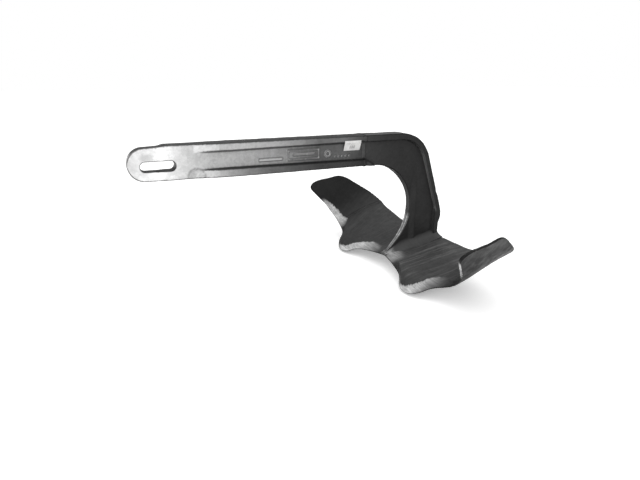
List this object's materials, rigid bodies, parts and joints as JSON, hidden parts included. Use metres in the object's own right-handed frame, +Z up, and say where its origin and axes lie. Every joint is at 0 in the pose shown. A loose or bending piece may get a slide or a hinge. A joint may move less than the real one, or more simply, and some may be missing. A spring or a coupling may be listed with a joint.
{
  "type": "plow anchor",
  "caption": "Fixed claw-style plow anchor with an I-section shank, slotted eye, curved neck and a wide fluke with curled wings.",
  "frame": {"origin": "centre of the whole anchor's bounding box at floor level, below the middle of the shank", "axes": "+X from the eye towards the crown, along the shank; +Y to starboard; +Z up, with the shank level"},
  "size_m": [1.0055, 0.9612, 0.4681],
  "materials": {
    "cast_steel": "rough cast, dull zinc grey on the shank and dark grey on the neck and fluke",
    "weld_steel": "rippled weld metal under the same coating",
    "label_paper": "matte white paper"
  },
  "bodies": {
    "root": {"shank_arm": "cast_steel", "arm_weld": "weld_steel", "shank_neck": "cast_steel", "fluke_center": "cast_steel", "fluke_wing_port": "cast_steel", "fluke_wing_starboard": "cast_steel", "wing_weld_port": "weld_steel", "wing_weld_starboard": "weld_steel", "foot_weld_port": "weld_steel", "foot_weld_starboard": "weld_steel", "price_label": "label_paper"}
  },
  "joints": []
}
